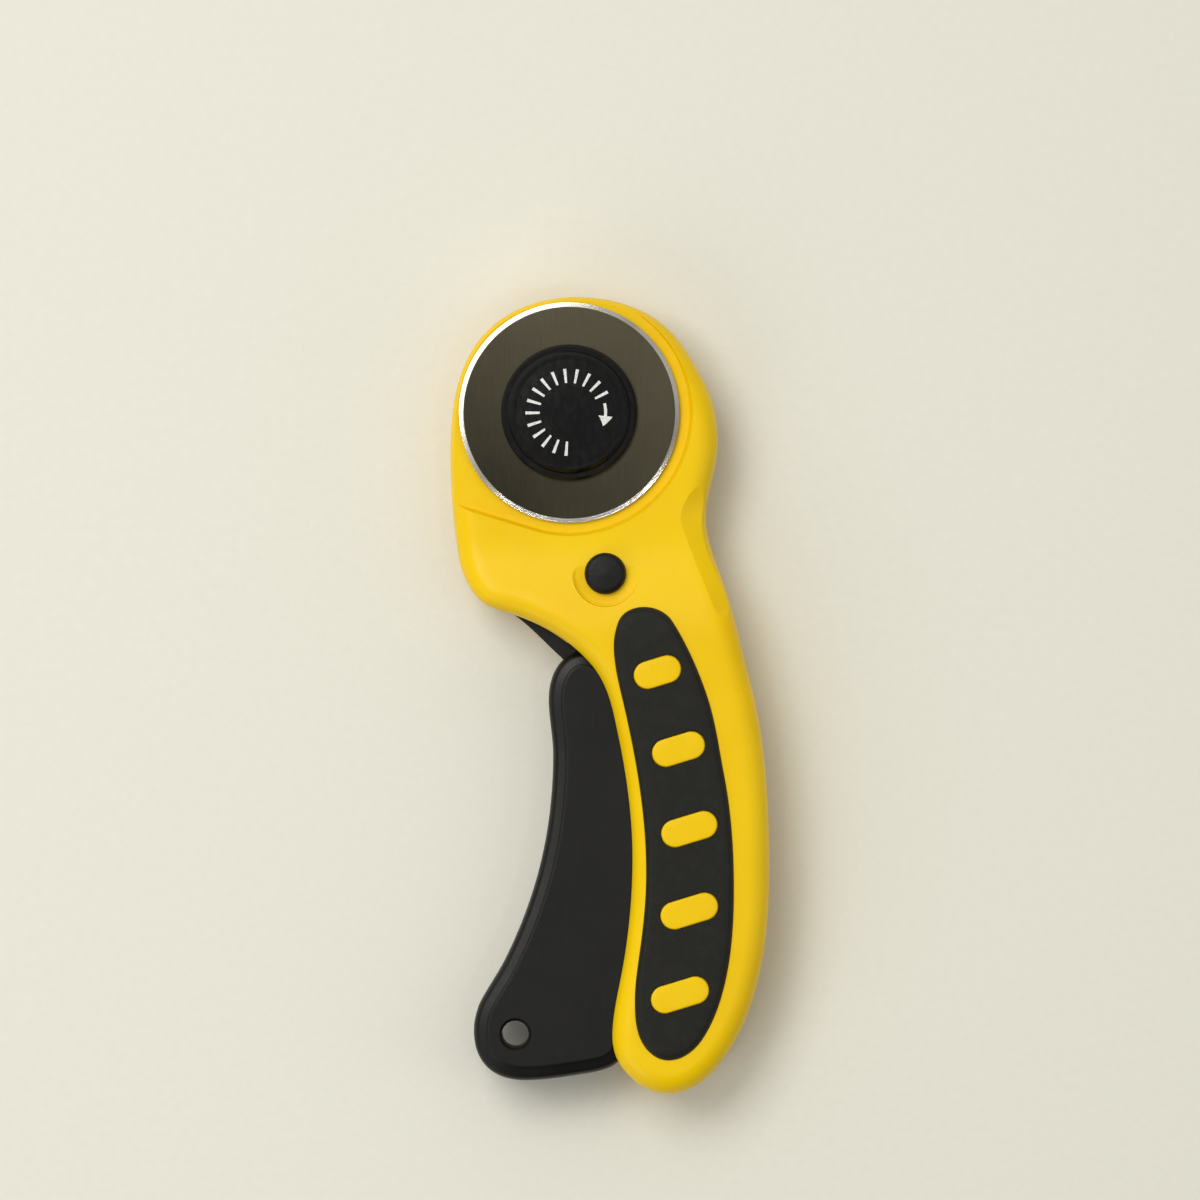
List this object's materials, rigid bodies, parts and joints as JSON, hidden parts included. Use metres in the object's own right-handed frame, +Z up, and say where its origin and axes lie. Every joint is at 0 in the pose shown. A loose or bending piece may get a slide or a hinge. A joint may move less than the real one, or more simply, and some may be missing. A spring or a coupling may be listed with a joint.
{
  "type": "rotary cutter",
  "caption": "Fabric cutter with a round blade, a curved two-part handle and a squeeze trigger that swings the blade out past its guard.",
  "frame": {"origin": "middle of the footprint, on the surface that the cutter lies on", "axes": "+Z up through the thickness towards the blade side, +Y along the handle from butt to blade, +X towards the back of the handle"},
  "size_m": [0.0652, 0.163, 0.021],
  "materials": {
    "yellow_plastic": "satin moulded",
    "soft_grip": "matt soft-touch",
    "black_plastic": "fine moulded texture",
    "cap_plastic": "polished",
    "blade_steel": "ground, with a bright bevel",
    "zinc_steel": "bright zinc",
    "spring_steel": "drawn wire",
    "brass": "turned"
  },
  "bodies": {
    "handle": {"front_shell": "yellow_plastic", "rear_shell": "yellow_plastic", "front_grip": "soft_grip", "rear_grip": "soft_grip", "pivot_pin": "zinc_steel", "return_spring": "spring_steel", "button_clip": "spring_steel", "screw_top": "zinc_steel", "screw_side": "zinc_steel", "screw_neck": "zinc_steel", "screw_upper": "zinc_steel", "screw_lower": "zinc_steel", "screw_butt": "zinc_steel"},
    "trigger": {"trigger_lever": "black_plastic", "axle_bolt": "zinc_steel", "blade_cap": "cap_plastic", "cap_cover": "cap_plastic", "wave_washer": "spring_steel", "axle_nut": "black_plastic", "nut_insert": "brass"},
    "blade": {"blade": "blade_steel"},
    "lock_button": {"lock_button": "black_plastic"}
  },
  "joints": [
    {"name": "trigger_squeeze", "type": "hinge", "parent": "handle", "child": "trigger", "pos_m": [-0.0188, 0.02325, 0.0105], "axis": [0, 0, 1], "range_deg": [0, 10], "stiffness_Nm_per_rad": 1.5, "springref_deg": -17.19, "deforming": ["return_spring"]},
    {"name": "blade_spin", "type": "hinge", "parent": "trigger", "child": "blade", "pos_m": [-0.0083, 0.05775, 0.01545], "axis": [0, 0, 1], "continuous": true},
    {"name": "lock_button_slide", "type": "slide", "parent": "handle", "child": "lock_button", "axis": [0, 0, -1], "range_m": [0, 0.0025], "deforming": ["button_clip"]}
  ]
}
